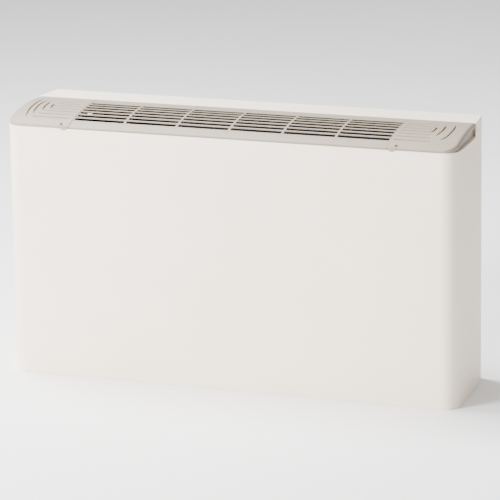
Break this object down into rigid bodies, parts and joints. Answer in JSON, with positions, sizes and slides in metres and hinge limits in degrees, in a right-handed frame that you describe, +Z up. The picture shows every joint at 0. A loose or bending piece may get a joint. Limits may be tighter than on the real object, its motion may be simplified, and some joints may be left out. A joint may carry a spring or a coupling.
{
  "type": "fan convector heater",
  "caption": "Wall-hung hydronic fan convector with a wrapped steel casing, slotted plastic top grille, hinged end flaps, coil, blowers and drop-down filter.",
  "frame": {"origin": "centre of the overall box's bottom face", "axes": "+Z up, +X along the length (the object's left is -X seen from the front), -Y towards the room, +Y towards the wall"},
  "size_m": [0.894, 0.22, 0.512],
  "materials": {
    "cream_steel": "fine-texture powder coat",
    "greige_plastic": "fine spark-eroded grain",
    "galvanised": "spangled zinc",
    "aluminium": "rolled foil",
    "copper": "drawn copper tube",
    "brass": "turned brass",
    "black_plastic": "moulded",
    "white_plastic": "moulded",
    "zinc_screw": "zinc plated",
    "filter_cloth": "woven synthetic mesh",
    "grey_foam": "closed-cell foam sheet",
    "motor_paint": "baked enamel"
  },
  "bodies": {
    "cabinet": {"air_vent_body": "brass", "baffle_insulation": "grey_foam", "cable_gland": "black_plastic", "casing_bracket_left_lower": "galvanised", "casing_bracket_left_upper": "galvanised", "casing_bracket_right_lower": "galvanised", "casing_bracket_right_upper": "galvanised", "casing_screw_left_lower": "zinc_screw", "casing_screw_left_upper": "zinc_screw", "casing_screw_right_lower": "zinc_screw", "casing_screw_right_upper": "zinc_screw", "casing_shell": "cream_steel", "chassis_left_plate": "galvanised", "chassis_rear_plate": "galvanised", "chassis_right_plate": "galvanised", "coil_end_plate_left": "galvanised", "coil_end_plate_right": "galvanised", "coil_fin_block": "aluminium", "coil_tube": "copper", "control_box": "white_plastic", "control_panel": "black_plastic", "drain_pan": "galvanised", "drain_spigot": "black_plastic", "fan_deck": "galvanised", "fan_motor": "motor_paint", "filter_rail_front": "galvanised", "filter_rail_rear": "galvanised", "front_baffle": "galvanised", "grille_module_1": "greige_plastic", "grille_module_2": "greige_plastic", "grille_module_3": "greige_plastic", "grille_module_4": "greige_plastic", "grille_module_5": "greige_plastic", "grille_module_6": "greige_plastic", "inlet_header": "brass", "left_fan_scroll": "galvanised", "left_insulation": "grey_foam", "motor_cradle": "galvanised", "outlet_header": "brass", "rear_deck": "cream_steel", "rear_insulation": "grey_foam", "right_fan_scroll": "galvanised", "right_insulation": "grey_foam", "run_capacitor": "white_plastic", "terminal_block": "white_plastic", "valve_drip_tray": "black_plastic"},
    "left_flap": {"left_flap": "greige_plastic"},
    "right_flap": {"right_flap": "greige_plastic"},
    "left_lock_screw": {"left_lock_screw": "zinc_screw"},
    "right_lock_screw": {"right_lock_screw": "zinc_screw"},
    "rotor": {"fan_shaft": "zinc_screw", "left_fan_wheel": "black_plastic", "right_fan_wheel": "black_plastic"},
    "filter": {"filter_frame": "black_plastic", "filter_mesh": "filter_cloth"},
    "speed_knob": {"speed_knob": "white_plastic"},
    "thermostat_knob": {"thermostat_knob": "white_plastic"},
    "air_vent_screw": {"air_vent_screw": "zinc_screw"}
  },
  "joints": [
    {"name": "left_flap_hinge", "type": "hinge", "parent": "cabinet", "child": "left_flap", "pos_m": [-0.38, 0.0382, 0.5095], "axis": [-1, 0, 0], "range_deg": [0, 95]},
    {"name": "right_flap_hinge", "type": "hinge", "parent": "cabinet", "child": "right_flap", "pos_m": [0.38, 0.0382, 0.5095], "axis": [-1, 0, 0], "range_deg": [0, 95]},
    {"name": "left_lock_turn", "type": "hinge", "parent": "left_flap", "child": "left_lock_screw", "pos_m": [-0.332, -0.102, 0.488], "axis": [0, 0, 1], "range_deg": [0, 90]},
    {"name": "right_lock_turn", "type": "hinge", "parent": "right_flap", "child": "right_lock_screw", "pos_m": [0.332, -0.102, 0.488], "axis": [0, 0, 1], "range_deg": [0, 90]},
    {"name": "fan_spin", "type": "hinge", "parent": "cabinet", "child": "rotor", "pos_m": [0, 0.01, 0.1], "axis": [1, 0, 0], "continuous": true},
    {"name": "filter_swing", "type": "hinge", "parent": "cabinet", "child": "filter", "pos_m": [0, 0.1, 0.007], "axis": [1, 0, 0], "range_deg": [0, 80]},
    {"name": "speed_turn", "type": "hinge", "parent": "cabinet", "child": "speed_knob", "pos_m": [0.382, -0.046, 0.478], "axis": [0, 0, 1], "range_deg": [-90, 45]},
    {"name": "thermostat_turn", "type": "hinge", "parent": "cabinet", "child": "thermostat_knob", "pos_m": [0.382, 0.008, 0.478], "axis": [0, 0, 1], "range_deg": [-135, 135]},
    {"name": "air_vent_turn", "type": "hinge", "parent": "cabinet", "child": "air_vent_screw", "pos_m": [-0.358, -0.03173, 0.345], "axis": [0, 0, 1], "range_deg": [0, 180]}
  ]
}
